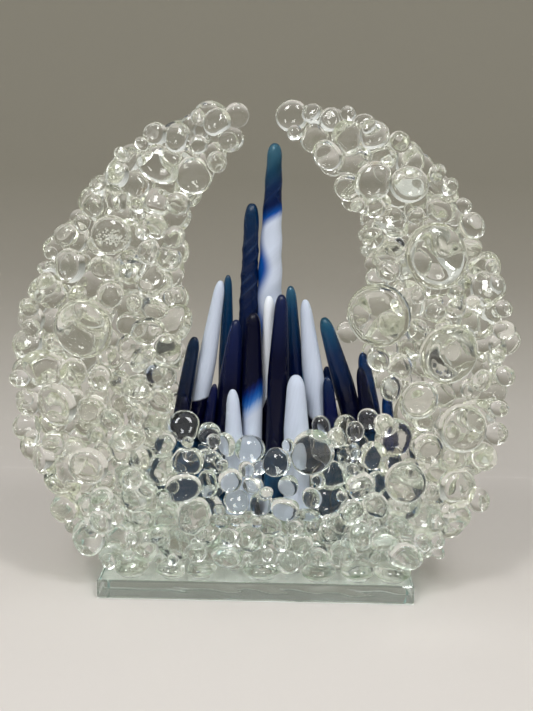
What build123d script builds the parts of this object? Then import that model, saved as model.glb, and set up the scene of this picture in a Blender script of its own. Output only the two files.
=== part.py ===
from build123d import *
import bisect
import math
import os
import random
from collections import namedtuple

# Glass sculpture: an open crescent of clear fused nuggets that holds a cluster of blue and
# white spikes, bonded to a plate of thick float glass.
# Sizes are in millimetres. The origin is the middle of the plate's underside, with +X to the
# right, +Y to the back and +Z up.

# Base plate and the film of clear adhesive between it and the nuggets
PLATE_LENGTH = 200.0
PLATE_DEPTH = 75.0
PLATE_THICKNESS = 12.0
PLATE_ARRIS = 1.2
GLUE_THICKNESS = 0.4

# Every height below is measured from the top of the adhesive, where the nuggets stand.
STANDING_LEVEL = PLATE_THICKNESS + GLUE_THICKNESS

# The crescent is read as a band around this centre. Each station gives the turn from the lowest
# point in degrees, negative to the left, then the inner radius, outer radius and depth.
CRESCENT_CENTRE_HEIGHT = 145.6
CRESCENT_STATIONS = [
    (-177, 123, 151, 26),
    (-167, 111, 155, 36),
    (-150, 92, 152, 44),
    (-135, 66, 150, 50),
    (-120, 54, 149, 52),
    (-105, 48, 151, 56),
    (-90, 44, 157, 62),
    (-72, 55, 164, 68),
    (-55, 60, 171, 76),
    (-40, 54, 177, 80),
    (0, 52, 152, 80),
    (40, 54, 178, 80),
    (55, 62, 176, 76),
    (67, 90, 169, 70),
    (90, 46, 161, 62),
    (107, 48, 159, 56),
    (126, 82, 159, 48),
    (135, 87, 161, 50),
    (150, 104, 159, 44),
    (160, 113, 158, 36),
    (168, 127, 155, 30),
    (175, 131, 152, 26),
]
SECTION_ROUNDING = 0.45

# Small round nuggets. Two that are tacked together are modelled a hair apart.
NUGGET_RADIUS_USUAL = 8.4
NUGGET_RADIUS_MOST = 11.5
TACK_GAP = 0.15
GAP_ALLOWANCE = 0.01
TOUCH_GAP = 0.25
OVERHANG_SHARE = 0.18

# A nugget that stands on a flat has its middle this share of its radius above the flat.
FOOT_SHARE = 0.88

# Nuggets that slumped flat along the front and back edges of the plate
PUDDLE_HALF_HEIGHT = (5.0, 6.4)
PUDDLE_CORE_RADIUS = (3.0, 7.0)
PUDDLE_EDGE_MARGIN = (0.5, 3.0)
PUDDLE_TRIES = 400

# Large flat nuggets: turn, distance from the crescent's centre, diameter and thickness
FRONT_LARGE_NUGGETS = [
    (107, 77, 43, 15),
    (119, 123, 43, 15),
    (90, 117, 40, 15),
    (70, 135, 33, 14),
    (49, 122, 29, 13),
    (74, 104, 25, 12),
    (139, 136, 25, 12),
    (-96, 110, 40, 15),
    (-74, 131, 29, 13),
    (-127, 115, 28, 12),
    (-55, 129, 26, 13),
    (-113, 128, 23, 12),
]
BACK_LARGE_NUGGETS = [
    (100, 110, 42, 15),
    (126, 122, 32, 13),
    (66, 114, 36, 14),
    (-70, 118, 42, 15),
    (-104, 80, 40, 15),
    (-128, 118, 36, 14),
    (-45, 140, 30, 13),
]
LARGE_NUGGET_TILT = 48.0

# The last ball of each tip: place across, height and diameter
TIP_NUGGETS = [
    (-17.0, 288.6, 16.0),
    (18.0, 288.6, 16.0),
]

# Nuggets along the top of the front rim, before the spikes: place across, height and diameter
RIM_NUGGETS = [
    (-47.0, 95.6, 17.0),
    (-31.0, 90.6, 13.0),
    (-20.0, 85.6, 12.0),
    (-5.0, 82.6, 18.0),
    (12.0, 75.6, 18.0),
    (34.0, 83.6, 22.0),
    (55.0, 94.6, 16.0),
    (69.0, 102.6, 14.0),
    (83.0, 100.6, 16.0),
]
RIM_STEP = 0.5

# Spikes: where the foot stands, the height of its seat, where the tip is, and the diameters
# of the foot and of the neck below the rounded tip
CENTRE_SEAT = 38.0
SIDE_SEAT = 48.0
Spike = namedtuple("Spike", "name foot_x foot_y seat tip_x tip_y tip_height foot_diameter neck_diameter")
SPIKES = [
    Spike("tall_spike", 3.2, 16.9, CENTRE_SEAT, 7.0, 15.5, 272.6, 15.0, 9.3),
    Spike("twisted_spike", -11.5, 14.5, CENTRE_SEAT, -7.0, 14.0, 234.6, 11.6, 9.0),
    Spike("left_teal_spike", -23.8, 18.4, CENTRE_SEAT, -22.0, 17.5, 188.1, 9.4, 5.8),
    Spike("left_white_spike", -48.6, 8.3, SIDE_SEAT, -26.0, 5.5, 185.6, 11.0, 7.0),
    Spike("left_navy_spike", -26.9, 1.2, CENTRE_SEAT, -15.4, -1.5, 161.6, 15.0, 8.2),
    Spike("left_blue_spike", -38.8, -10.0, SIDE_SEAT, -28.5, -6.0, 120.6, 7.7, 5.7),
    Spike("left_stub", -50.1, -9.2, SIDE_SEAT, -47.3, -6.5, 112.6, 8.3, 7.0),
    Spike("far_left_spike", -59.5, 2.5, SIDE_SEAT, -42.0, 1.5, 149.6, 10.0, 7.7),
    Spike("small_white_stub", -14.4, -13.4, CENTRE_SEAT, -16.8, -12.5, 118.6, 11.6, 8.2),
    Spike("dipped_spike", -4.7, -3.4, CENTRE_SEAT, -4.6, -3.4, 166.6, 13.0, 9.4),
    Spike("thin_white_spike", 6.5, 4.5, CENTRE_SEAT, 5.0, 3.4, 176.6, 9.0, 7.0),
    Spike("centre_navy_spike", 9.8, -8.2, CENTRE_SEAT, 13.0, -5.0, 178.6, 13.0, 8.2),
    Spike("slim_blue_spike", 30.0, 10.4, CENTRE_SEAT, 18.5, 9.5, 182.6, 9.7, 7.0),
    Spike("wide_white_stub", 25.2, -15.2, CENTRE_SEAT, 22.9, -15.6, 129.2, 15.9, 11.3),
    Spike("right_white_spike", 44.8, 3.2, CENTRE_SEAT, 27.9, 3.8, 174.6, 13.4, 7.6),
    Spike("right_navy_spike", 52.6, -8.1, CENTRE_SEAT, 42.9, -5.5, 126.6, 10.5, 7.0),
    Spike("hidden_navy_spike", 52.7, 18.0, CENTRE_SEAT, 43.2, 14.5, 129.6, 9.2, 6.5),
    Spike("right_blue_spike", 73.6, 5.4, SIDE_SEAT, 40.0, 3.5, 163.3, 13.2, 8.6),
    Spike("outer_blue_spike", 83.4, 17.2, SIDE_SEAT, 66.2, 13.5, 139.3, 11.0, 7.8),
    Spike("outer_navy_spike", 79.5, -7.0, SIDE_SEAT, 63.9, -1.5, 132.4, 10.8, 7.0),
    Spike("far_right_spike", 87.8, 3.6, SIDE_SEAT, 82.0, 4.5, 114.4, 7.8, 7.0),
]
FOOT_STRETCH = 0.62
NECK_LENGTH = 9.0
TIP_SHARE = 0.6
SPIKE_CLEARANCE = 0.6
BEAD_STEP = 4.0

# The scatter of the small nuggets, in sweeps up the crescent: the turns that each sweep goes
# between, the least radius of its balls and how many it drops
SCATTER_SEED = 7
SCATTER_SWEEPS = [
    (-177, 175, 6.8, 4500),
    (-60, 64, 6.2, 4000),
    (-177, 175, 6.8, 4500),
    (-177, 175, 5.8, 6000),
    (-44, 52, 4.2, 8000),
    (-150, -100, 5.0, 2500),
    (100, 150, 5.0, 2500),
    (-177, -150, 5.0, 3500),
    (150, 175, 5.0, 3500),
]
SKIN_POWER = 0.6

# Zones of the crescent, from the tips down, by their least turn to either side
ZONES = [(150, "tip"), (122, "shoulder"), (96, "arm"), (70, "flank"), (46, "hip")]
CRADLE_MIDDLE = 16

# A nugget is a disc core with a round edge, and a plain ball where the core has no radius.
Nugget = namedtuple("Nugget", "centre edge_radius core_radius axis group flat_top")
UPRIGHT = (0.0, 0.0, 1.0)
CLOSEST_ROUNDS = 8


def ball(centre, radius, group=None, flat_top=None):
    return Nugget(centre, radius, 0.0, UPRIGHT, group, flat_top)


def stands_on_plate(nugget):
    return nugget.centre[2] - nugget.edge_radius < STANDING_LEVEL


def shifted(point, direction, distance):
    return tuple(p + d * distance for p, d in zip(point, direction))


def band_at(turn):
    """Inner radius, outer radius and depth of the crescent at a turn."""
    turns = [station[0] for station in CRESCENT_STATIONS]
    after = min(max(bisect.bisect(turns, turn), 1), len(turns) - 1)
    low, high = CRESCENT_STATIONS[after - 1], CRESCENT_STATIONS[after]
    share = (turn - low[0]) / (high[0] - low[0])
    return [a + (b - a) * share for a, b in zip(low[1:], high[1:])]


def ring_point(turn, distance, y):
    angle = math.radians(turn)
    height = STANDING_LEVEL + CRESCENT_CENTRE_HEIGHT - distance * math.cos(angle)
    return (distance * math.sin(angle), y, height)


def ring_place(point):
    """Turn around the crescent's centre and distance from it."""
    across = point[0]
    drop = STANDING_LEVEL + CRESCENT_CENTRE_HEIGHT - point[2]
    return math.degrees(math.atan2(across, drop)), math.hypot(across, drop)


def crescent_room(point):
    """Distance from a point to the skin of the crescent, negative outside it."""
    turn, distance = ring_place(point)
    first, last = CRESCENT_STATIONS[0][0], CRESCENT_STATIONS[-1][0]
    inner, outer, depth = band_at(turn)
    half_width = (outer - inner) / 2
    half_depth = depth / 2
    corner = SECTION_ROUNDING * min(half_width, half_depth)
    across = abs(distance - (inner + outer) / 2) - (half_width - corner)
    along = abs(point[1]) - (half_depth - corner)
    outside = math.hypot(max(across, 0), max(along, 0)) + min(max(across, along), 0) - corner
    to_end = math.radians(min(turn - first, last - turn)) * distance
    return min(-outside, to_end)


def spike_ends(spike):
    foot = (spike.foot_x, spike.foot_y, STANDING_LEVEL + spike.seat)
    tip = (spike.tip_x, spike.tip_y, STANDING_LEVEL + spike.tip_height)
    return foot, tip


def spike_outline(spike, length):
    """Radius and distance along the axis at the foot, at the shoulder, at the neck and at the tip ball."""
    foot_radius = spike.foot_diameter / 2
    neck_radius = spike.neck_diameter / 2
    tip_radius = TIP_SHARE * neck_radius
    return [
        (foot_radius, 0.0),
        (foot_radius, FOOT_STRETCH * length),
        (neck_radius, length - NECK_LENGTH),
        (tip_radius, length - tip_radius),
    ]


def spike_radius(outline, along):
    for (low_radius, low), (high_radius, high) in zip(outline, outline[1:]):
        if along <= high:
            return low_radius + (high_radius - low_radius) * (along - low) / (high - low)
    return outline[-1][0]


def spike_beads():
    """Balls strung along every spike, used to keep the nuggets clear of them."""
    beads = []
    for spike in SPIKES:
        foot, tip = spike_ends(spike)
        length = math.dist(foot, tip)
        outline = spike_outline(spike, length)
        top = outline[-1][1]
        count = int(top / BEAD_STEP)
        for step in range(count + 1):
            along = top * step / count
            centre = tuple(f + (t - f) * along / length for f, t in zip(foot, tip))
            beads.append((centre, spike_radius(outline, along)))
    return beads


BEADS = spike_beads()


def spike_room(point):
    return min(math.dist(point, centre) - radius for centre, radius in BEADS) - SPIKE_CLEARANCE


def core_point(nugget, point):
    """The point of a nugget's core that lies nearest to another point."""
    if nugget.core_radius == 0:
        return nugget.centre
    offset = [p - c for p, c in zip(point, nugget.centre)]
    height = sum(o * a for o, a in zip(offset, nugget.axis))
    flat = [o - height * a for o, a in zip(offset, nugget.axis)]
    reach = math.hypot(*flat)
    share = min(1.0, nugget.core_radius / reach) if reach else 0.0
    return shifted(nugget.centre, flat, share)


def core_points(nugget, other):
    """The two core points where a pair of nuggets comes closest."""
    near = core_point(nugget, other.centre)
    far = core_point(other, near)
    if nugget.core_radius and other.core_radius:
        for _ in range(CLOSEST_ROUNDS):
            near = core_point(nugget, far)
            far = core_point(other, near)
    else:
        near = core_point(nugget, far)
    return near, far


def gap_between(nugget, other):
    near, far = core_points(nugget, other)
    return math.dist(near, far) - nugget.edge_radius - other.edge_radius


def has_room(nugget, placed):
    """True where a nugget clears the spikes and every nugget placed before it."""
    if spike_room(nugget.centre) < nugget.edge_radius + nugget.core_radius:
        return False
    return all(gap_between(nugget, other) > TACK_GAP - GAP_ALLOWANCE for other in placed)


def seat_nuggets():
    """Under each spike a stack of balls carries it, from the plate up to its flat seat."""
    nuggets = []
    for spike in SPIKES:
        foot = (spike.foot_x, spike.foot_y)
        others = [(s.foot_x, s.foot_y) for s in SPIKES if s is not spike]
        widest = min(math.dist(foot, other) for other in others) / 2 - TACK_GAP
        count = 1
        radius = math.inf
        while radius > min(widest, NUGGET_RADIUS_USUAL):
            count += 1
            radius = (spike.seat - TACK_GAP * (count - 1)) / (2 * FOOT_SHARE + 2 * (count - 1))
        for step in range(count):
            height = STANDING_LEVEL + FOOT_SHARE * radius + step * (2 * radius + TACK_GAP)
            top = STANDING_LEVEL + spike.seat if step == count - 1 else None
            nuggets.append(ball((*foot, height), radius, "bed_nuggets", top))
    return nuggets


def large_nuggets(sizes, facing, placed):
    """Large flat nuggets on the front (facing -1) or back (facing 1), tilted as the band rounds off."""
    nuggets = []
    for turn, distance, diameter, thickness in sizes:
        inner, outer, depth = band_at(turn)
        tilt = math.radians(LARGE_NUGGET_TILT) * (2 * distance - inner - outer) / (outer - inner)
        outward = (math.sin(math.radians(turn)), 0.0, -math.cos(math.radians(turn)))
        axis = shifted((0.0, facing * math.cos(tilt), 0.0), outward, math.sin(tilt))
        centre = ring_point(turn, distance, facing * (depth - thickness) / 2 * math.cos(tilt))
        group = "left_large_nuggets" if turn < 0 else "right_large_nuggets"
        nugget = Nugget(centre, thickness / 2, (diameter - thickness) / 2, axis, group, None)
        if has_room(nugget, placed + nuggets):
            nuggets.append(nugget)
    return nuggets


def tip_nuggets():
    return [ball((x, 0.0, STANDING_LEVEL + height), diameter / 2) for x, height, diameter in TIP_NUGGETS]


def rim_nuggets(placed):
    """Each rim nugget is brought forward until it clears the spikes behind it."""
    nuggets = []
    for x, height, diameter in RIM_NUGGETS:
        y = 0.0
        while spike_room((x, y, STANDING_LEVEL + height)) < diameter / 2 or y > -PLATE_DEPTH / 4:
            y -= RIM_STEP
        nugget = ball((x, y, STANDING_LEVEL + height), diameter / 2)
        if has_room(nugget, placed + nuggets):
            nuggets.append(nugget)
    return nuggets


def puddled_nuggets(placed, chance):
    nuggets = []
    for facing, group in ((-1, "front_foot_nuggets"), (1, "back_foot_nuggets")):
        for _ in range(PUDDLE_TRIES):
            half_height = chance.uniform(*PUDDLE_HALF_HEIGHT)
            core = chance.uniform(*PUDDLE_CORE_RADIUS)
            reach = half_height + core
            x = chance.uniform(-1, 1) * (PLATE_LENGTH / 2 - reach)
            y = facing * (PLATE_DEPTH / 2 - reach - chance.uniform(*PUDDLE_EDGE_MARGIN))
            centre = (x, y, STANDING_LEVEL + FOOT_SHARE * half_height)
            nugget = Nugget(centre, half_height, core, UPRIGHT, group, None)
            if has_room(nugget, placed + nuggets):
                nuggets.append(nugget)
    return nuggets


def two_contact_point(centre, first, first_reach, second, second_reach):
    """Where a ball touches two neighbours at once, as near as it can be to where it was."""
    apart = math.dist(first, second)
    along = (first_reach ** 2 - second_reach ** 2 + apart ** 2) / (2 * apart)
    if abs(along) >= first_reach:
        return centre
    line = [(s - f) / apart for f, s in zip(first, second)]
    middle = shifted(first, line, along)
    offset = [c - m for c, m in zip(centre, middle)]
    lengthwise = sum(o * l for o, l in zip(offset, line))
    sideways = [o - lengthwise * l for o, l in zip(offset, line)]
    reach = math.hypot(*sideways)
    return shifted(middle, [s / reach for s in sideways], math.sqrt(first_reach ** 2 - along ** 2))


def scattered_ball(turn, least, held, waiting, chance):
    """One small ball dropped at random in the crescent and slid against its nearest neighbours."""
    inner, outer, depth = band_at(turn)
    distance = math.sqrt(chance.uniform(inner ** 2, outer ** 2))
    side = chance.uniform(-1, 1)
    centre = ring_point(turn, distance, math.copysign(abs(side) ** SKIN_POWER, side) * depth / 2)
    wanted = chance.triangular(least, NUGGET_RADIUS_MOST, NUGGET_RADIUS_USUAL)
    radius = min(wanted, crescent_room(centre) / (1 - OVERHANG_SHARE), spike_room(centre))
    if radius < least:
        return None
    gaps = []
    for other in held + waiting:
        point = core_point(other, centre)
        gap = math.dist(centre, point) - other.edge_radius
        if gap < least + TACK_GAP:
            return None
        gaps.append((gap, point, other.edge_radius))
    gap, first, first_edge = min(gaps[:len(held)])
    second_gap, second, second_edge = min(g for g in gaps if g[1] != first)
    radius = min(radius, gap - TACK_GAP, second_gap - TACK_GAP)
    if gap > radius + NUGGET_RADIUS_MOST:
        return None
    first_reach = first_edge + radius + TACK_GAP
    second_reach = second_edge + radius + TACK_GAP
    toward = [(f - c) / math.dist(first, centre) for f, c in zip(first, centre)]
    centre = shifted(first, toward, -first_reach)
    centre = two_contact_point(centre, first, first_reach, second, second_reach)
    if centre[2] - radius < STANDING_LEVEL:
        over_plate = abs(centre[0]) + radius < PLATE_LENGTH / 2 and abs(centre[1]) + radius < PLATE_DEPTH / 2
        if not over_plate:
            return None
        centre = (centre[0], centre[1], STANDING_LEVEL + FOOT_SHARE * radius)
    if crescent_room(centre) < radius * (1 - OVERHANG_SHARE):
        return None
    return ball(centre, radius)


def settle(nugget, held, waiting):
    """Add a nugget to those that hang together, and then each waiting one that it touches."""
    held.append(nugget)
    touched = [other for other in waiting if gap_between(nugget, other) < TOUCH_GAP]
    for other in touched:
        if other in waiting:
            waiting.remove(other)
            settle(other, held, waiting)


def group_name(nugget):
    """Node that a nugget belongs to: its own group, or the zone of the crescent that it lies in."""
    if nugget.group:
        return nugget.group
    turn = ring_place(nugget.centre)[0]
    side = "left" if turn < 0 else "right"
    for least, zone in ZONES:
        if abs(turn) >= least:
            return f"{side}_{zone}_nuggets"
    face = "front" if nugget.centre[1] < 0 else "back"
    place = "middle" if abs(turn) < CRADLE_MIDDLE else side
    return f"{face}_{place}_cradle_nuggets"


def all_nuggets():
    """Every nugget, grown from those on the plate up to the tips so that all hang together."""
    chance = random.Random(SCATTER_SEED)
    held = seat_nuggets()
    held += puddled_nuggets(held, chance)
    waiting = large_nuggets(FRONT_LARGE_NUGGETS, -1, held)
    waiting += large_nuggets(BACK_LARGE_NUGGETS, 1, held + waiting)
    waiting += rim_nuggets(held + waiting)
    waiting += tip_nuggets()
    for first, last, least, tries in SCATTER_SWEEPS:
        turns = sorted((chance.uniform(first, last) for _ in range(tries)), key=abs)
        for turn in turns:
            nugget = scattered_ball(turn, least, held, waiting, chance)
            if nugget and has_room(nugget, held + waiting):
                settle(nugget, held, waiting)
    return held


def build_nugget(nugget):
    edge = nugget.edge_radius
    core = nugget.core_radius
    with BuildPart() as piece:
        if core == 0:
            with Locations(nugget.centre):
                Sphere(edge)
        else:
            own = Plane(origin=nugget.centre, z_dir=nugget.axis)
            with BuildSketch(Plane(origin=nugget.centre, x_dir=own.x_dir, z_dir=-own.y_dir)):
                with BuildLine():
                    Polyline((core, -edge), (0, -edge), (0, edge), (core, edge))
                    ThreePointArc((core, edge), (core + edge, 0), (core, -edge))
                make_face()
            revolve(axis=Axis(nugget.centre, nugget.axis))
        if stands_on_plate(nugget):
            split(bisect_by=Plane.XY.offset(STANDING_LEVEL), keep=Keep.TOP)
        if nugget.flat_top:
            split(bisect_by=Plane.XY.offset(nugget.flat_top), keep=Keep.BOTTOM)
    return piece.part


def build_spike(spike):
    foot, tip = spike_ends(spike)
    length = math.dist(foot, tip)
    direction = [(t - f) / length for f, t in zip(foot, tip)]
    own = Plane(origin=foot, z_dir=direction)
    outline = spike_outline(spike, length)
    foot_radius = outline[0][0]
    tip_radius, tip_start = outline[-1]
    with BuildPart() as piece:
        with BuildSketch(Plane(origin=foot, x_dir=own.x_dir, z_dir=-own.y_dir)):
            with BuildLine():
                Polyline((0, length), (0, -foot_radius), (foot_radius, -foot_radius), *outline[1:])
                CenterArc((0, tip_start), tip_radius, 0, 90)
            make_face()
        revolve(axis=Axis(foot, direction))
        split(bisect_by=Plane.XY.offset(foot[2]), keep=Keep.TOP)
    return piece.part


def build_plate():
    with BuildPart() as plate:
        Box(PLATE_LENGTH, PLATE_DEPTH, PLATE_THICKNESS, align=(Align.CENTER, Align.CENTER, Align.MIN))
        chamfer(plate.edges(), PLATE_ARRIS)
    return plate.part


def build_glue_spot(nugget):
    height = nugget.centre[2] - STANDING_LEVEL
    radius = nugget.core_radius + math.sqrt(nugget.edge_radius ** 2 - height ** 2)
    with BuildPart() as spot:
        with Locations((nugget.centre[0], nugget.centre[1], PLATE_THICKNESS)):
            Cylinder(radius, GLUE_THICKNESS, align=(Align.CENTER, Align.CENTER, Align.MIN))
    return spot.part


def write_piece(piece, name):
    piece.label = name
    export_step(piece, f"parts/{name}.step")


os.makedirs("parts", exist_ok=True)

write_piece(build_plate(), "base_plate")
for spike in SPIKES:
    write_piece(build_spike(spike), spike.name)

nuggets = all_nuggets()
standing = [nugget for nugget in nuggets if stands_on_plate(nugget)]
glue_spots = [build_glue_spot(nugget).solid() for nugget in standing]
write_piece(Compound(glue_spots), "glue_spots")

groups = {}
for nugget in nuggets:
    groups.setdefault(group_name(nugget), []).append(build_nugget(nugget).solid())
for name, solids in groups.items():
    write_piece(Compound(solids), name)

print(f"{len(nuggets)} nuggets in {len(groups)} groups, {len(standing)} of them on the plate")
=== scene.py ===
# %% [markdown]
# # Glass wave sculpture
# An open crescent of clear glass nuggets cradles a cluster of blue and white glass spikes on a plate of
# float glass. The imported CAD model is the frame: it says where every nugget, spike and plate is, and this
# lesson gives each of them the surface that hot glass has. Lengths are worked out in millimetres and handed
# to Blender in metres.

# %% Frame
import math

import bmesh
import bpy
import numpy as np
from mathutils import Matrix, Vector


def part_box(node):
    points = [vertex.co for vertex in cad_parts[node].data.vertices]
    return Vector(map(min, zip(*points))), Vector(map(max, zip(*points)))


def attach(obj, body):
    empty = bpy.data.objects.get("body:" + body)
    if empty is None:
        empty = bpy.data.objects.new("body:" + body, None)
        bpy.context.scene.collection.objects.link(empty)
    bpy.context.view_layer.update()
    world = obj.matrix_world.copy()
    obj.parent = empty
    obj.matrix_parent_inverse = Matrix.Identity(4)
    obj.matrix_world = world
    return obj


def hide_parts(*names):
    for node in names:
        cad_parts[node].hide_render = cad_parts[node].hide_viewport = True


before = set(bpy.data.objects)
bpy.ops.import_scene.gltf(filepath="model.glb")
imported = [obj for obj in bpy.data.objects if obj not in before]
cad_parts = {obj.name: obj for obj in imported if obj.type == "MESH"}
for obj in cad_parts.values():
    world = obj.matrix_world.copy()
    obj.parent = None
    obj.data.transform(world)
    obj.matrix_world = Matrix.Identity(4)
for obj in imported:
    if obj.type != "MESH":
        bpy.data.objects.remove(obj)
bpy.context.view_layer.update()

MM = 0.001

# %% [markdown]
# ## Helpers for materials
# Colours are written as sRGB hex values, as a paint chart gives them, and one function turns them to the
# linear values that the renderer wants. One more function adds a node: its settings go in by name, and its
# inputs take either a value or another node's output. Everything below is built from these two.

# %% Colour and node helpers
def colour(hex_value):
    """Linear RGBA of an sRGB hex colour."""
    shares = [int(hex_value[i:i + 2], 16) / 255 for i in (1, 3, 5)]
    return [s / 12.92 if s <= 0.04045 else ((s + 0.055) / 1.055) ** 2.4 for s in shares] + [1.0]


def put(tree, kind, inputs=None, **settings):
    """Add a node, with its settings by name and its inputs by socket name or number."""
    node = tree.nodes.new(kind)
    for key, value in settings.items():
        setattr(node, key, value)
    for key, value in (inputs or {}).items():
        if isinstance(value, bpy.types.NodeSocket):
            tree.links.new(value, node.inputs[key])
        else:
            node.inputs[key].default_value = value
    return node


def new_material(name):
    """Material with an empty node tree."""
    material = bpy.data.materials.new(name)
    material.use_nodes = True
    material.node_tree.nodes.clear()
    return material


print("white is", colour("#ffffff"))

# %% [markdown]
# ## Clear soda-lime glass, fire-polished
# The nuggets are scraps of clear bottle and window glass that were melted until surface tension pulled them
# round, so their skin is fire-polished: it has no grain at all, only very slow waves, and on some nuggets
# the rings and rays that a gob keeps from its pour. A rough or bumpy glass would look like ice. The straw
# tint comes from a little absorption along the way that light takes through the glass, so a thick cluster
# looks warmer than a single nugget. The low nuggets slumped into a thick mass that looks greener, so they
# get their own glass, and a few nuggets near the tips carry amber specks that were fired on.

# %% Clear glass material
GLASS_IOR = 1.51
WAVE_WIDTH = 7.0
WAVE_HEIGHT = 0.12
# Wrinkles grow from the middle of a disc to its rim, on the nuggets where a wide noise is high enough
WRINKLE_PATCH = 26.0
WRINKLE_HEIGHT = 0.16
WRINKLE_RIM = (0.2, 0.8)
WRINKLE_SOME = (0.45, 0.65)
# Turns round the disc and steps outwards: first for the rings, then for the rays
WRINKLE_COUNTS = ((0.7, 5.0), (5.0, 0.4))
STAIN_REACH = 5.0
STAIN_GRAIN = 2.0
STAIN_SPECKS = (0.45, 0.6)
# Middles of the stained spots
STAINS = [(-41, -10, 294), (-67, -14, 259), (-73, -14, 255), (60, -12, 283), (68, -14, 272), (98, -14, 250)]


def wrinkles(tree, place):
    """Height of rings and rays towards the rim of a nugget, on some nuggets only."""
    disc = put(tree, "ShaderNodeAttribute", attribute_name="disc").outputs["Vector"]
    level = put(tree, "ShaderNodeVectorMath", {0: disc, 1: (1.0, 1.0, 0.0)}, operation="MULTIPLY")
    flat = level.outputs["Vector"]
    reach = put(tree, "ShaderNodeVectorMath", {0: flat}, operation="LENGTH").outputs["Value"]
    way = put(tree, "ShaderNodeVectorMath", {0: flat}, operation="NORMALIZE").outputs["Vector"]
    upward = put(tree, "ShaderNodeCombineXYZ", {"Z": reach}).outputs["Vector"]
    heights = []
    for turns, steps in WRINKLE_COUNTS:
        around = put(tree, "ShaderNodeVectorMath", {0: way, 3: turns}, operation="SCALE")
        outward = put(tree, "ShaderNodeVectorMath", {0: upward, 3: steps}, operation="SCALE")
        spot = put(tree, "ShaderNodeVectorMath", {
            0: around.outputs["Vector"], 1: outward.outputs["Vector"],
        }, operation="ADD")
        height = put(tree, "ShaderNodeTexNoise", {
            "Vector": spot.outputs["Vector"], "Scale": 1.0, "Detail": 0.0,
        })
        heights.append(height.outputs["Fac"])
    lines = put(tree, "ShaderNodeMath", {0: heights[0], 1: heights[1]}, operation="ADD").outputs["Value"]
    rim = put(tree, "ShaderNodeMapRange", {
        "Value": reach, "From Min": WRINKLE_RIM[0], "From Max": WRINKLE_RIM[1],
    }, interpolation_type="SMOOTHSTEP").outputs["Result"]
    patches = put(tree, "ShaderNodeTexNoise", {
        "Vector": place, "Scale": 1 / (WRINKLE_PATCH * MM), "Detail": 0.0,
    })
    some = put(tree, "ShaderNodeMapRange", {
        "Value": patches.outputs["Fac"], "From Min": WRINKLE_SOME[0], "From Max": WRINKLE_SOME[1],
    }, interpolation_type="SMOOTHSTEP").outputs["Result"]
    shown = put(tree, "ShaderNodeMath", {0: rim, 1: some}, operation="MULTIPLY").outputs["Value"]
    return put(tree, "ShaderNodeMath", {0: lines, 1: shown}, operation="MULTIPLY").outputs["Value"]


def stained(tree, place, stains):
    """Clear glass with a few amber specks round the given places."""
    grain = put(tree, "ShaderNodeTexNoise", {
        "Vector": place, "Scale": 1 / (STAIN_GRAIN * MM), "Detail": 2.0,
    })
    speck = put(tree, "ShaderNodeMapRange", {
        "Value": grain.outputs["Fac"], "From Min": STAIN_SPECKS[0], "From Max": STAIN_SPECKS[1],
    })
    amount = 0.0
    for stain in stains:
        apart = put(tree, "ShaderNodeVectorMath", {0: place, 1: Vector(stain) * MM}, operation="DISTANCE")
        near = put(tree, "ShaderNodeMapRange", {
            "Value": apart.outputs["Value"], "From Min": STAIN_REACH * MM, "From Max": 0.0,
        }, interpolation_type="SMOOTHSTEP")
        total = put(tree, "ShaderNodeMath", {0: near.outputs["Result"], 1: amount}, operation="ADD")
        amount = total.outputs["Value"]
    share = put(tree, "ShaderNodeMath", {
        0: amount, 1: speck.outputs["Result"],
    }, operation="MULTIPLY", use_clamp=True)
    tone = put(tree, "ShaderNodeMix", {
        "Factor": share.outputs["Value"], "A": colour("#ffffff"), "B": colour("#c68a4a"),
    }, data_type="RGBA")
    return tone.outputs["Result"]


def clear_glass(name, tint, density, roughness=0.0, wave_height=0.0, wrinkle_height=0.0, stains=()):
    """Transparent glass with a tint that deepens with thickness and slow waves in its skin."""
    material = new_material(name)
    tree = material.node_tree
    place = put(tree, "ShaderNodeTexCoord").outputs["Object"]
    waves = put(tree, "ShaderNodeTexNoise", {"Vector": place, "Scale": 1 / (WAVE_WIDTH * MM), "Detail": 1.0})
    skin = put(tree, "ShaderNodeBump", {
        "Height": waves.outputs["Fac"], "Strength": 1.0, "Distance": wave_height * MM,
    })
    if wrinkle_height:
        skin = put(tree, "ShaderNodeBump", {
            "Height": wrinkles(tree, place), "Strength": 1.0, "Distance": wrinkle_height * MM,
            "Normal": skin.outputs["Normal"],
        })
    glass = put(tree, "ShaderNodeBsdfPrincipled", {
        "Base Color": stained(tree, place, stains) if stains else colour("#ffffff"),
        "Roughness": roughness,
        "IOR": GLASS_IOR,
        "Transmission Weight": 1.0,
        "Normal": skin.outputs["Normal"],
    })
    depth = put(tree, "ShaderNodeVolumeAbsorption", {"Color": colour(tint), "Density": density})
    put(tree, "ShaderNodeOutputMaterial", {
        "Surface": glass.outputs["BSDF"], "Volume": depth.outputs["Volume"],
    })
    return material


nugget_glass = clear_glass(
    "clear_soda_lime_glass_fire_polished", tint="#f2f6e0", density=10.0,
    wave_height=WAVE_HEIGHT, wrinkle_height=WRINKLE_HEIGHT, stains=STAINS)
thick_glass = clear_glass(
    "clear_soda_lime_glass_thick_slump", tint="#e8f4e4", density=12.0,
    wave_height=WAVE_HEIGHT, wrinkle_height=WRINKLE_HEIGHT)
print("made", nugget_glass.name, "and", thick_glass.name)

# %% [markdown]
# ## Reading the pieces from the CAD
# Each nugget group in the CAD is one node that holds many separate balls and thick discs, and each spike is
# a node with one solid. The surfaces of two solids don't touch, so walking along the mesh edges splits a
# node into its solids.

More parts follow.
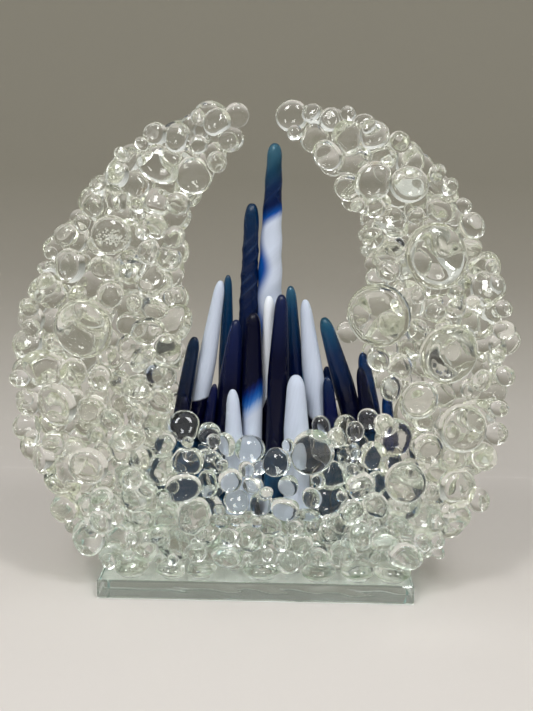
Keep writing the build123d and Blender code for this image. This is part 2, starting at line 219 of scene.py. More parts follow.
# %% Split a node into its solids
def solids_of(node):
    """Vertex places of each separate solid in a CAD node, in millimetres, from left to right."""
    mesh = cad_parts[node].data
    places = np.empty(len(mesh.vertices) * 3, np.float32)
    mesh.vertices.foreach_get("co", places)
    places = places.reshape(-1, 3) / MM
    same = np.unique(np.round(places, 4), axis=0, return_inverse=True)[1].ravel()
    ends = np.empty(len(mesh.edges) * 2, np.int32)
    mesh.edges.foreach_get("vertices", ends)
    first, second = same[ends].reshape(-1, 2).T
    label = np.arange(same.max() + 1)
    while True:
        lower = np.minimum(label[first], label[second])
        joined = label.copy()
        np.minimum.at(joined, label[first], lower)
        np.minimum.at(joined, label[second], lower)
        joined = joined[joined]
        if np.array_equal(joined, label):
            break
        label = joined
    owner = label[same]
    solids = [places[owner == one] for one in np.unique(owner)]
    return sorted(solids, key=lambda points: tuple(np.round(points.mean(0), 2)))


nugget_nodes = sorted(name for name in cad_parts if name.endswith("_nuggets"))
solids = {name: solids_of(name) for name in nugget_nodes}
print(len(nugget_nodes), "nugget nodes,", sum(map(len, solids.values())), "nuggets")

# %% [markdown]
# A spike is a turned taper in the CAD. Its axis is the longest direction of its upper vertices, and its
# radii are the largest distances from that axis. The nuggets have to stay clear of the spikes, so the
# spikes are read first.

# %% Read the spikes
# The foot of a CAD rod is cut level, so the axis is read above this share of its height
UPPER_SHARE = 0.2
# The rod is straight up to a share of its length, and its last few millimetres are rounded off
STRAIGHT_SHARE = 0.62
NECK_LENGTH = 9.0
NECK_MARGIN = 0.5
TIP_STRETCH = 1.15
TIP_POWER = 2.4
LEAST_WIDTH = 1e-6


class Rod:
    """One spike: foot, tip, axis and length of its middle line, and its radii at foot and neck."""

    def __init__(self, points):
        low, high = points.min(0), points.max(0)
        upper = points[points[:, 2] > low[2] + UPPER_SHARE * (high[2] - low[2])]
        middle = upper.mean(0)
        self.axis = np.linalg.eigh((upper - middle).T @ (upper - middle))[1][:, 2]
        self.axis *= np.sign(self.axis[2])
        along = (points - middle) @ self.axis
        radii = np.linalg.norm(points - middle - np.outer(along, self.axis), axis=1)
        self.foot = middle + self.axis * (low[2] - middle[2]) / self.axis[2]
        self.tip = middle + self.axis * along.max()
        self.length = np.linalg.norm(self.tip - self.foot)
        self.foot_radius = radii.max()
        self.neck_radius = radii[along > along.max() - NECK_LENGTH - NECK_MARGIN].max()

    def radius(self, along):
        """Radius along the rod: a plain foot, a long taper and a rounded end."""
        shoulder = STRAIGHT_SHARE * self.length
        taper = np.clip((along - shoulder) / (self.length - NECK_LENGTH - shoulder), 0, None)
        radius = self.foot_radius + (self.neck_radius - self.foot_radius) * taper
        to_tip = np.clip((self.length - along) / (NECK_LENGTH * TIP_STRETCH), 0, 1)
        return radius * (1 - (1 - to_tip) ** TIP_POWER) ** (1 / TIP_POWER)

    def along_at(self, height):
        """How far along the rod a height above the table is."""
        return (height - self.foot[2]) / self.axis[2]

    def distance(self, points):
        """Distance to the rod's skin and the direction that it grows in."""
        along = (points - self.foot) @ self.axis
        sideways = points - self.foot - np.outer(along, self.axis)
        out = np.maximum(np.linalg.norm(sideways, axis=1), LEAST_WIDTH)
        distance = out - self.radius(np.clip(along, 0, self.length))
        direction = sideways / out[:, None]
        below = -along > distance
        distance[below] = -along[below]
        direction[below] = -self.axis
        beyond = along > self.length
        past = points[beyond] - self.tip
        distance[beyond] = np.linalg.norm(past, axis=1)
        direction[beyond] = past / np.maximum(distance[beyond], LEAST_WIDTH)[:, None]
        return distance, direction


spike_nodes = sorted(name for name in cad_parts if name.endswith(("_spike", "_stub")))
rods = {name: Rod(solids_of(name)[0]) for name in spike_nodes}
for name, rod in rods.items():
    print(name, "foot", rod.foot.round(1), "tip", rod.tip.round(1), "radius", rod.foot_radius.round(2))

# %% [markdown]
# ## Shapes of the nuggets
# A CAD ball stands for a gob of glass that slumped in the kiln, so it was never round: it is a thick lens
# that spread wider than its ball and went thin where nothing leaned on it, which on most nuggets is towards
# the front or the back. That direction is found from the neighbours that touch it, with a seeded random
# tilt, so every run gives the same sculpture. A nugget with few neighbours stayed nearly round. The big flat
# gems are round in plan and keep a fuller edge, which is what the exponent is for: 2 is an ellipsoid, and
# more is closer to a pillbox. Each nugget also gets a rank, which says who yields at a contact.

# %% Nugget shapes
STANDING_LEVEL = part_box("glue_spots")[1].z / MM
FLAT_SIGN = 0.3
# A puddle's height below its widest part, as a share of the height above it
FOOT_SHARE = 0.88
# Gap up to which a neighbour still leans, and how much an open side and the front pull the thin direction
LEAN_REACH = 2.0
OPEN_PULL = 0.25
FACE_PULL = 2.0
TILT = 0.3
# Most neighbours that a lone nugget has
FEW = 3
PUDDLE_RANK = 20.0
LONE_RANK = 50.0
GEM_RANK = 100.0
DISC_EXPONENT = 2.4
GEM_EXPONENT = 2.8
PUDDLE_EXPONENT = 2.0
# Least and most half-widths, as shares of a ball's radius or of a disc's radius and height
DISC_SHARES = ([1.30, 1.20, 0.58], [1.55, 1.35, 0.74])
LONE_SHARES = ([1.10, 1.00, 0.85], [1.20, 1.10, 0.95])
PUDDLE_SHARES = ([1.25, 1.1, 1.0], [1.5, 1.25, 1.1])
GEM_SHARES = ([1.0, 0.95, 1.0], [1.06, 1.0, 1.08])
# The front of the cradle is less crowded, so its nuggets spread less
LOOSE_NODE = "front_middle_cradle_nuggets"
LOOSE_SHARES = (0.82, 0.86, 1.15)
LEAST_SIZE = 1e-9
chance = np.random.default_rng(11)


class Nugget:
    """One nugget: middle, half-widths, the turn of its own axes, edge exponent, flat top and rank."""

    def __init__(self, centre, halves, turn, exponent, top=None, rank=0.0):
        self.centre = centre
        self.halves = halves
        self.turn = turn
        self.exponent = exponent
        self.top = top
        self.rank = rank

    def size(self, shares):
        """Size of the nugget that passes through a place given in half-widths, and its plan radius."""
        plan = np.linalg.norm(shares[:, :2], axis=1)
        total = plan ** self.exponent + np.abs(shares[:, 2]) ** self.exponent
        return np.maximum(total, LEAST_SIZE) ** (1 / self.exponent), plan

    def distance(self, points):
        """Distance to the nugget's skin and the direction that it grows in."""
        local = (points - self.centre) @ self.turn
        shares = local / self.halves
        power = self.exponent
        size, plan = self.size(shares)
        slope = shares / self.halves * size[:, None] ** (1 - power)
        slope[:, :2] *= plan[:, None] ** (power - 2)
        slope[:, 2] *= np.abs(shares[:, 2]) ** (power - 2)
        steepness = np.maximum(np.linalg.norm(slope, axis=1), LEAST_SIZE)
        return (size - 1) / steepness, (slope / steepness[:, None]) @ self.turn.T


def turn_to(axis):
    """Three unit columns, the last one along the axis and the others at random round it."""
    columns = chance.normal(size=(3, 3))
    columns[:, 0] = axis
    return np.linalg.qr(columns)[0][:, [1, 2, 0]]


def read_ball(points):
    """Middle, radius and flat top of a CAD ball, which may be cut flat below or above."""
    low, high = points.min(0), points.max(0)
    radius = (high[:2] - low[:2]).max() / 2
    centre = (low + high) / 2
    top = None
    if high[2] - low[2] < 2 * radius - FLAT_SIGN:
        if low[2] < STANDING_LEVEL + FLAT_SIGN:
            centre[2] = high[2] - radius
        else:
            centre[2] = low[2] + radius
            top = high[2]
    return centre, radius, top


def is_flat(name):
    """Whether a node holds thick discs rather than balls."""
    return "large" in name or "foot" in name


balls = {name: [read_ball(points) for points in solids[name]] for name in nugget_nodes if not is_flat(name)}
ball_centres = np.array([centre for group in balls.values() for centre, _, _ in group])
ball_radii = np.array([radius for group in balls.values() for _, radius, _ in group])
print(len(ball_radii), "balls, radius", ball_radii.min().round(1), "to", ball_radii.max().round(1), "mm")


# %% Slumping
def thin_axis(centre, radius):
    """Direction with the fewest neighbours to lean on, with a random tilt, and how many there are."""
    away = ball_centres - centre
    gaps = np.linalg.norm(away, axis=1)
    near = (gaps > FLAT_SIGN) & (gaps < ball_radii + radius + LEAN_REACH)
    units = away[near] / gaps[near, None]
    open_side = units.sum(0)
    crowd = units.T @ units - OPEN_PULL * np.outer(open_side, open_side)
    crowd[1, 1] -= FACE_PULL
    return np.linalg.eigh(crowd)[1][:, 0] + chance.normal(scale=TILT, size=3), len(units)


def slump_ball(centre, radius, top, crowded):
    """Nugget that a ball became: a lens among neighbours, and rounder where it has few."""
    axis, touching = thin_axis(centre, radius)
    if top is not None or centre[2] - radius < STANDING_LEVEL:
        axis[2] = 0.0
    shares = chance.uniform(*DISC_SHARES)
    if not crowded:
        shares *= LOOSE_SHARES
    rank = 0.0
    if touching <= FEW:
        shares = chance.uniform(*LONE_SHARES)
        rank = LONE_RANK
    return Nugget(centre, radius * shares, turn_to(axis), DISC_EXPONENT, top, rank)


def slump_gem(points):
    """Nugget that a thick disc became: a puddle on the plate, or a gem higher up."""
    low, high = points.min(0), points.max(0)
    centre = (low + high) / 2
    spread = points - centre
    axis = np.linalg.eigh(spread.T @ spread)[1][:, 0]
    height = np.abs(spread @ axis).max()
    if low[2] < STANDING_LEVEL + FLAT_SIGN:
        height = (high[2] - low[2]) / (1 + FOOT_SHARE)
        centre[2] = high[2] - height
        axis = np.array([0.0, 0.0, 1.0])
        shares = chance.uniform(*PUDDLE_SHARES)
        exponent = PUDDLE_EXPONENT
        rank = PUDDLE_RANK
    else:
        shares = chance.uniform(*GEM_SHARES)
        exponent = GEM_EXPONENT
        rank = GEM_RANK
    radius = np.linalg.norm(spread - np.outer(spread @ axis, axis), axis=1).max()
    return Nugget(centre, np.array([radius, radius, height]) * shares, turn_to(axis), exponent, None, rank)


nuggets = {}
for name in nugget_nodes:
    if is_flat(name):
        nuggets[name] = [slump_gem(points) for points in solids[name]]
    else:
        nuggets[name] = [slump_ball(*ball, name != LOOSE_NODE) for ball in balls[name]]
sizes = [2 * nugget.halves.max() for group in nuggets.values() for nugget in group]
print("nuggets from", round(min(sizes), 1), "to", round(max(sizes), 1), "mm across")

# %% [markdown]
# ## Pressing the nuggets together
# Soft glass that touches presses flat against its neighbour, and a hair of air stays between the two: that
# thin seam is what draws the bright outlines all over the sculpture. Overlapping meshes would show a false
# lens at every contact. So each nugget's skin is found along rays from its middle: a ray ends at the
# nugget's own lens shape or at the wall to a neighbour, whichever comes first, and also short of the spikes
# and the plate. Gems, lone nuggets, the puddles at the foot and whatever lies further out were tacked on
# last and keep their round outline: they rank higher, and what lies under them yields. Two of one rank meet
# halfway. A soft maximum of these limits rounds the edges as fire polish does, and its slope is handed over
# as the shading normal, so that the glass refracts cleanly.

# %% Pressed skin
# Air at a contact, rounding of the edges, room round the spikes, and lift off the glue
HAIR_GAP = 0.12
EDGE = 0.9
ROD_GAP = 1.0
LIFT = 0.02


def pressed_distance(points, nugget, neighbours, near_rods):
    """Distance to the skin of a nugget among its neighbours, and the skin's slope."""
    own, own_slope = nugget.distance(points)
    levels, slopes = [own], [own_slope]
    for other, yields in neighbours:
        distance, direction = other.distance(points)
        levels.append((1 - yields) * own - yields * distance + HAIR_GAP / 2)
        slopes.append((1 - yields) * own_slope - yields * direction)
    for rod in near_rods:
        distance, direction = rod.distance(points)
        levels.append(ROD_GAP - distance)
        slopes.append(-direction)
    floor_slope = np.broadcast_to((0.0, 0.0, -1.0), points.shape)
    levels.append(STANDING_LEVEL + LIFT - points[:, 2])
    slopes.append(floor_slope)
    if nugget.top is not None:
        levels.append(points[:, 2] - nugget.top)
        slopes.append(-floor_slope)
    levels = np.array(levels)
    highest = levels.max(0)
    weights = np.exp((levels - highest) / EDGE)
    total = weights.sum(0)
    slope = sum(weight[:, None] * one for weight, one in zip(weights, slopes)) / total[:, None]
    return highest + EDGE * np.log(total), slope


def globe(divisions):
    """Unit directions and triangles of a finely divided icosahedron."""
    shape = bmesh.new()
    bmesh.ops.create_icosphere(shape, subdivisions=divisions, radius=1.0)
    directions = np.array([vertex.co[:] for vertex in shape.verts])
    triangles = np.array([[vertex.index for vertex in face.verts] for face in shape.faces])
    shape.free()
    return directions, triangles


small_globe, large_globe = globe(4), globe(5)
print("a nugget has", len(small_globe[1]), "triangles, a gem", len(large_globe[1]))


# %% Skin of one nugget
MARCH_STEPS = 9
HALVINGS = 7


def nugget_skin(nugget, directions, neighbours, near_rods):
    """Vertex places and normals of a nugget's pressed skin."""
    rays = (directions / nugget.size(directions)[0][:, None] * nugget.halves) @ nugget.turn.T

    def outside(share):
        """Whether each ray has left the glass at its share of the way out."""
        return pressed_distance(nugget.centre + rays * share[:, None], nugget, neighbours, near_rods)[0] > 0

    inner = np.zeros(len(rays))
    outer = np.ones(len(rays))
    open_rays = np.ones(len(rays), bool)
    for step in range(1, MARCH_STEPS):
        share = np.full(len(rays), step / MARCH_STEPS)
        hit = outside(share)
        outer[open_rays & hit] = step / MARCH_STEPS
        open_rays &= ~hit
        inner[open_rays] = step / MARCH_STEPS
    for _ in range(HALVINGS):
        share = (inner + outer) / 2
        hit = outside(share)
        outer[hit] = share[hit]
        inner[~hit] = share[~hit]
    points = nugget.centre + rays * ((inner + outer) / 2)[:, None]
    slope = pressed_distance(points, nugget, neighbours, near_rods)[1]
    return points, slope / np.maximum(np.linalg.norm(slope, axis=1), LEAST_SIZE)[:, None]


print("a ray is marched in", MARCH_STEPS, "steps and then halved", HALVINGS, "times")

# %% Who yields at a contact
# How far round a nugget its crowd is looked at, and the step in rank at which the lower one yields fully
RANK_REACH = 30.0
RANK_STEP = 5.0
# What a nugget that yields still keeps, which is more where its middle lies inside the other
LEAST_KEPT = 0.06
BURIED_KEEP = 1.6
every_nugget = [nugget for name in nugget_nodes for nugget in nuggets[name]]
middles = np.array([nugget.centre for nugget in every_nugget])
widest = np.array([nugget.halves.max() for nugget in every_nugget])
for nugget in every_nugget:
    around = middles[np.linalg.norm(middles - nugget.centre, axis=1) < RANK_REACH]
    nugget.rank += np.linalg.norm(nugget.centre - around.mean(0))


def yield_to(nugget, other):
    """Share of the room at a contact that a nugget leaves to the other: half if they are of one rank."""
    if nugget.rank > other.rank:
        return 1 - yield_to(other, nugget)
    buried = max(0.0, -other.distance(nugget.centre[None])[0][0])
    level = 0.5 - (other.rank - nugget.rank) / (2 * RANK_STEP)
    keeps = max(LEAST_KEPT, level, BURIED_KEEP * buried / (nugget.halves.min() + buried))
    return 1 - min(0.5, keeps)


ranks = [nugget.rank for nugget in every_nugget]
print("ranks from", round(min(ranks), 1), "to", round(max(ranks), 1))

# %% [markdown]
# ## Froth and clusters
# Air that was trapped in the soft glass shows as a patch of tiny bubbles in one gem and in two nuggets of the
# left tip. A bubble is a hole in the glass: a small globe under the nugget's front skin whose faces look
# into the air, so light bends in and out again and the patch glitters. All the nuggets of one CAD node then
# become one piece.

# %% Froth
# Middle across and up, reach across and up, and number of bubbles
FROTH = {
    "left_large_nuggets": [(-90.5, 225.5, 9.0, 4.6, 130)],
    "left_tip_nuggets": [(-30.5, 274.0, 3.2, 3.2, 24), (-20.0, 278.5, 3.2, 3.2, 24)],
}
FROTH_DEPTH = (0.8, 2.6)
FROTH_FRONT = 5.0
BUBBLE_RADII = (0.4, 0.9)
BUBBLE_TRIES = 6000
bubble_globe = globe(2)


def froth(nugget, neighbours, near_rods, x, z, reach_x, reach_z, count):
    """Small air bubbles under the front skin: places, normals that face the air, and triangles."""
    spread = chance.normal(size=(BUBBLE_TRIES, 3)) * (reach_x / 2, nugget.halves.max(), reach_z / 2)
    tries = spread + (x, nugget.centre[1], z)
    depth = pressed_distance(tries, nugget, neighbours, near_rods)[0]
    inside = (-depth > FROTH_DEPTH[0]) & (-depth < FROTH_DEPTH[1])
    good = tries[inside & (tries[:, 1] < nugget.centre[1])][:count]
    directions, triangles = bubble_globe
    radii = chance.uniform(*BUBBLE_RADII, size=len(good))
    places = (good[:, None] + directions * radii[:, None, None]).reshape(-1, 3)
    steps = np.arange(len(good))[:, None, None] * len(directions)
    return places, np.tile(-directions, (len(good), 1)), (triangles[:, ::-1] + steps).reshape(-1, 3)


print("froth in", sum(map(len, FROTH.values())), "nuggets")


# %% Clusters of nuggets
def new_piece(name, places, faces, smooth=True):
    """Object with a mesh of its own, from places in metres."""
    mesh = bpy.data.meshes.new(name)
    mesh.from_pydata(np.asarray(places).tolist(), [], faces)
    mesh.polygons.foreach_set("use_smooth", np.full(len(mesh.polygons), smooth))
    mesh.update()
    piece = bpy.data.objects.new(name, mesh)
    bpy.context.scene.collection.objects.link(piece)
    return piece


def build_cluster(name):
    """One piece with all the nuggets of a CAD node, pressed together."""
    places, normals, faces, discs = [], [], [], []
    count = 0
    spots = {}
    for spot in FROTH.get(name, []):
        front = [nugget for nugget in nuggets[name] if nugget.centre[1] < FROTH_FRONT]
        spots[min(front, key=lambda one: math.dist(one.centre[[0, 2]], spot[:2]))] = spot
    for nugget in nuggets[name]:
        apart = np.linalg.norm(middles - nugget.centre, axis=1)
        near = np.flatnonzero((apart > FLAT_SIGN) & (apart < widest + nugget.halves.max()))
        neighbours = [(every_nugget[i], yield_to(nugget, every_nugget[i])) for i in near]
        close = [rod for rod in rods.values()
                 if rod.distance(nugget.centre[None])[0][0] < nugget.halves.max() + ROD_GAP]
        directions, triangles = large_globe if is_flat(name) else small_globe
        shells = [(*nugget_skin(nugget, directions, neighbours, close), triangles)]
        if nugget in spots:
            shells.append(froth(nugget, neighbours, close, *spots[nugget]))
        for points, slope, shell_faces in shells:
            places.append(points)
            normals.append(slope)
            discs.append((points - nugget.centre) @ nugget.turn / nugget.halves)
            faces.append(shell_faces + count)
            count += len(points)
    piece = new_piece("slumped_" + name, np.vstack(places) * MM, np.vstack(faces).tolist())
    piece.data.normals_split_custom_set_from_vertices(np.vstack(normals))
    disc = piece.data.attributes.new("disc", "FLOAT_VECTOR", "POINT")
    disc.data.foreach_set("vector", np.vstack(discs).ravel())
    return piece


for name in nugget_nodes:
    piece = build_cluster(name)
    low_down = "foot" in name or "cradle" in name or "bed" in name
    piece.data.materials.append(thick_glass if low_down else nugget_glass)
    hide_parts(name)
    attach(piece, "root")
    print(piece.name, len(piece.data.polygons), "faces")

# %% [markdown]
# ## Spikes of drawn and twisted glass
# The spikes are rods that were drawn from hot coloured glass and slumped to a satin skin. In the CAD each is
# a plain turned taper, which was read above as a rod. A turned rod looks machined, so the visual rod is swept
# again: its section is a little oval, the oval winds round the axis, and where the real rod was twisted while
# hot it carries shallow helical ridges. A painted highlight runs along the ridges in short breaks, so the
# mesh also stores how strong that painted highlight is, and two more places for the material: one on the
# plain rod and one that winds with it.

# %% Sweep a spike
# Rings along the rod, which crowd towards the tip, and places round it
RING_STEP = 0.8
TIP_CROWDING = 1.25
ROUND_COUNT = 72
OVAL = 0.035
TWIST_LENGTH = 100.0
# Part of a ridge that lies below the plain rod, and the lengths over which ridges start and end
RIDGE_MIDDLE = 0.2
RIDGE_START = 12.0
RIDGE_END = 14.0
# Length over which the level foot turns into sections across the axis
FOOT_BLEND = 20.0
# Breaks in the painted highlight along a ridge: their mean, swing and length, then their drift round the rod
# and its length
HIGHLIGHT_MEAN, HIGHLIGHT_SWING, HIGHLIGHT_BREAK_LENGTH = 0.55, 0.45, 5.3
HIGHLIGHT_DRIFT, HIGHLIGHT_DRIFT_LENGTH = 1.3, 11.0


def build_spike(name, twist, ridges, ridge_depth, ridge_from, bend):
    """Rod with its turns in 100 mm, the number, depth and start of its ridges, and a bow to one side."""
    rod = rods[name]
    foot, tip, axis, length = rod.foot, rod.tip, rod.axis, rod.length
    across = np.cross(axis, (0.0, -1.0, 0.0))
    across /= np.linalg.norm(across)
    back = np.cross(axis, across)
    ring_count = int(length / RING_STEP)
    along = length * (1 - (1 - np.linspace(0, 1, ring_count)[:-1]) ** TIP_CROWDING)
    turn = np.linspace(0, 2 * np.pi, ROUND_COUNT, endpoint=False)
    grid_along, grid_turn = np.meshgrid(along, turn, indexing="ij")
    wound = grid_turn - 2 * np.pi * twist * grid_along / TWIST_LENGTH
    radius = rod.radius(grid_along)
    ridge = (1 - np.abs(np.sin(wound * ridges / 2))) ** 2 if ridges else 0.0
    fade = np.clip((length - grid_along - RIDGE_END) / RIDGE_END, 0, 1)
    fade = fade * np.clip((grid_along - ridge_from) / RIDGE_START, 0, 1)
    radius = radius * (1 + OVAL * np.cos(2 * wound)) + ridge_depth * (ridge - RIDGE_MIDDLE) * fade
    sway = bend * np.sin(np.pi * grid_along / length)
    side = radius * np.cos(grid_turn)
    depth = radius * np.sin(grid_turn)
    lift = -(side * across[2] + depth * back[2]) / axis[2] * np.clip(1 - grid_along / FOOT_BLEND, 0, 1)
    points = (foot + (grid_along + lift)[..., None] * axis + (side + sway)[..., None] * across
              + depth[..., None] * back)
    rings = len(along)
    places = np.vstack([points.reshape(-1, 3), tip, foot])
    faces = []
    for ring in range(rings - 1):
        for step in range(ROUND_COUNT):
            after = (step + 1) % ROUND_COUNT
            start, end = ring * ROUND_COUNT, (ring + 1) * ROUND_COUNT
            faces.append((start + step, start + after, end + after, end + step))
    top, bottom = rings * ROUND_COUNT, rings * ROUND_COUNT + 1
    last = (rings - 1) * ROUND_COUNT
    for step in range(ROUND_COUNT):
        after = (step + 1) % ROUND_COUNT
        faces.append((last + step, last + after, top))
        faces.append((after, step, bottom))
    piece = new_piece("drawn_" + name, places * MM, faces)
    attributes = piece.data.attributes
    plain = np.stack([side, depth, grid_along], -1).reshape(-1, 3)
    drawn = np.stack([radius * np.cos(wound), radius * np.sin(wound), grid_along], -1).reshape(-1, 3)
    # Painted highlight along the ridges, in short breaks that drift round the rod
    drift = HIGHLIGHT_DRIFT * np.sin(grid_turn + grid_along / HIGHLIGHT_DRIFT_LENGTH)
    broken = HIGHLIGHT_MEAN + HIGHLIGHT_SWING * np.sin(grid_along / HIGHLIGHT_BREAK_LENGTH + drift)
    lines = np.append(np.broadcast_to(ridge * fade * broken, radius.shape).ravel(), (0.0, 0.0))
    attributes.new("ridge", "FLOAT", "POINT").data.foreach_set("value", lines)
    for key, values in (("rod", plain), ("drawn", drawn)):
        values = np.vstack([values, (0, 0, length), (0, 0, 0)])
        attributes.new(key, "FLOAT_VECTOR", "POINT").data.foreach_set("vector", values.ravel())
    return piece


print("a rod has", ROUND_COUNT, "faces round and a ring about every", RING_STEP, "mm")

# %% [markdown]
# ## Satin coloured glass
# The blue rods are cobalt glass: nearly black where the rod is thick, royal blue where it thins out over
# white, and teal at the drawn-out tips, where light gets through. The white is opal glass, which scatters
# light inside and lets no image through. Both were slumped in a kiln, which leaves a satin skin instead of a
# polish. One material function covers all rods: a ramp along the rod gives colour and how clear the glass
# is there, streaks run along the way that the glass was drawn, a wash can creep up one side, and a painted
# highlight, a paler tone, lies along the ridges.

# %% Wash on one side of a rod
WASH_FADE = 6.0


def washed(tree, tone, side, along, radius, wash):
    """Colour of a rod with a wash: its colour, reach, wave and wave length, and the place where it ends."""
    wash_hex, reach, wave, wave_length, top = wash
    angle = put(tree, "ShaderNodeMath", {0: along, 1: 2 * math.pi / wave_length}, operation="MULTIPLY")
    swing = put(tree, "ShaderNodeMath", {0: angle.outputs["Value"]}, operation="SINE")
    edge = put(tree, "ShaderNodeMath", {
        0: swing.outputs["Value"], 1: wave, 2: side,
    }, operation="MULTIPLY_ADD")
    amount = put(tree, "ShaderNodeMapRange", {
        "Value": edge.outputs["Value"], "From Min": -radius, "From Max": reach - radius,
        "To Min": 1.0, "To Max": 0.0,
    }, interpolation_type="SMOOTHSTEP")
    below = put(tree, "ShaderNodeMapRange", {
        "Value": along, "From Min": top - WASH_FADE, "From Max": top, "To Min": 1.0, "To Max": 0.0,
    }, interpolation_type="SMOOTHSTEP")
    spread = put(tree, "ShaderNodeMath", {
        0: amount.outputs["Result"], 1: below.outputs["Result"],
    }, operation="MULTIPLY")
    mixed = put(tree, "ShaderNodeMix", {
        "Factor": spread.outputs["Value"], "A": tone, "B": colour(wash_hex),
    }, data_type="RGBA")
    return mixed.outputs["Result"]


print("a wash ends over", WASH_FADE, "mm")

# %% Satin glass material
STREAK_WIDTH = 1.4
STREAK_LENGTH = 30.0
STREAK_SHADE = (0.92, 1.08)
STREAK_SATIN = (0.16, 0.28)
STREAK_HEIGHT = 0.12
SATIN_SPECULAR = 0.05
# Painted highlight on the ridges: the share of a paler tone mixed in, and that tone
RIDGE_HIGHLIGHT_SHARE = 0.16
RIDGE_HIGHLIGHT_TONE = "#7d94b8"


def satin_glass(name, stops, length, radius, slant, ragged, wash):
    """Coloured glass rod: stops are (millimetres along the rod, hex colour, how clear the glass is)."""
    material = new_material(name)
    tree = material.node_tree
    rod = put(tree, "ShaderNodeAttribute", attribute_name="rod")
    drawn = put(tree, "ShaderNodeAttribute", attribute_name="drawn")
    split = put(tree, "ShaderNodeSeparateXYZ", {"Vector": rod.outputs["Vector"]})
    side, along = split.outputs["X"], split.outputs["Z"]
    stretched = put(tree, "ShaderNodeVectorMath", {
        0: drawn.outputs["Vector"],
        1: (1 / STREAK_WIDTH, 1 / STREAK_WIDTH, 1 / STREAK_LENGTH),
    }, operation="MULTIPLY")
    noise = put(tree, "ShaderNodeTexNoise", {
        "Vector": stretched.outputs["Vector"], "Scale": 1.0, "Detail": 3.0,
    })
    streaks = noise.outputs["Fac"]
    slanted = put(tree, "ShaderNodeMath", {0: side, 1: slant, 2: along}, operation="MULTIPLY_ADD")
    wobble = put(tree, "ShaderNodeMath", {
        0: streaks, 1: ragged, 2: slanted.outputs["Value"],
    }, operation="MULTIPLY_ADD")
    share = put(tree, "ShaderNodeMath", {
        0: wobble.outputs["Value"], 1: length + ragged / 2,
    }, operation="DIVIDE")
    ramp = put(tree, "ShaderNodeValToRGB", {"Fac": share.outputs["Value"]})
    elements = ramp.color_ramp.elements
    while len(elements) < len(stops):
        elements.new(0.5)
    # Setting a place may reorder the stops, so the colours follow once all the places are set
    for element, stop in zip(elements, stops):
        element.position = (stop[0] + ragged / 2) / (length + ragged / 2)
    for element, stop in zip(elements, stops):
        element.color = colour(stop[1])[:3] + [stop[2]]
    tone = ramp.outputs["Color"]
    if wash:
        tone = washed(tree, tone, side, along, radius, wash)
    # The ridge attribute carries the painted highlight, a paler tone mixed into the rod's colour
    ridge = put(tree, "ShaderNodeAttribute", attribute_name="ridge").outputs["Fac"]
    highlight_share = put(tree, "ShaderNodeMath", {0: ridge, 1: RIDGE_HIGHLIGHT_SHARE}, operation="MULTIPLY")
    highlighted_tone = put(tree, "ShaderNodeMix", {
        "Factor": highlight_share.outputs["Value"], "A": tone, "B": colour(RIDGE_HIGHLIGHT_TONE),
    }, data_type="RGBA")
    shade = put(tree, "ShaderNodeMapRange", {
        "Value": streaks, "To Min": STREAK_SHADE[0], "To Max": STREAK_SHADE[1],
    })
    streaked = put(tree, "ShaderNodeVectorMath", {
        0: highlighted_tone.outputs["Result"], 1: shade.outputs["Result"],
    }, operation="MULTIPLY")
    satin = put(tree, "ShaderNodeMapRange", {
        "Value": streaks, "To Min": STREAK_SATIN[0], "To Max": STREAK_SATIN[1],
    })
    skin = put(tree, "ShaderNodeBump", {"Height": streaks, "Strength": 1.0, "Distance": STREAK_HEIGHT * MM})
    glass = put(tree, "ShaderNodeBsdfPrincipled", {
        "Base Color": streaked.outputs["Vector"],
        "Roughness": satin.outputs["Result"],
        "IOR": GLASS_IOR,
        "Specular IOR Level": SATIN_SPECULAR,
        "Transmission Weight": ramp.outputs["Alpha"],
        "Normal": skin.outputs["Normal"],
    })
    put(tree, "ShaderNodeOutputMaterial", {"Surface": glass.outputs["BSDF"]})
    return material


print("satin glass streaks are", STREAK_WIDTH, "by", STREAK_LENGTH, "mm")

# %% [markdown]
# Each rod's look is one row: how its colours run from the foot to the tip, measured as heights above the
# table because that is how they are read off the sculpture, and how strongly it was twisted. The feet of the
# blue rods stand among thick nuggets, and a paler teal is painted on them there: painted light for the light
# that scatters in those nuggets.

# %% Looks of the spikes
# The last tone is a paler teal, painted light on the rod feet for the light scattered in the nuggets round
# them
ROYAL, NAVY, INK, PAINTED_LIGHT_TEAL = "#104c9e", "#08134a", "#050828", "#153e60"
# The second opal is painted lighter to lift the shade that neighbouring rods cast on the thin white spike
OPAL, OPAL_PAINTED_LIGHTER = "#c6cfe1", "#eef3fc"


def painted_light_foot(height):
    """Stops of a rod's foot up to a height, in a paler teal that is painted light for the nuggets round it.
    """
    return [(0, PAINTED_LIGHT_TEAL, 0.3), (height, PAINTED_LIGHT_TEAL, 0.3)]


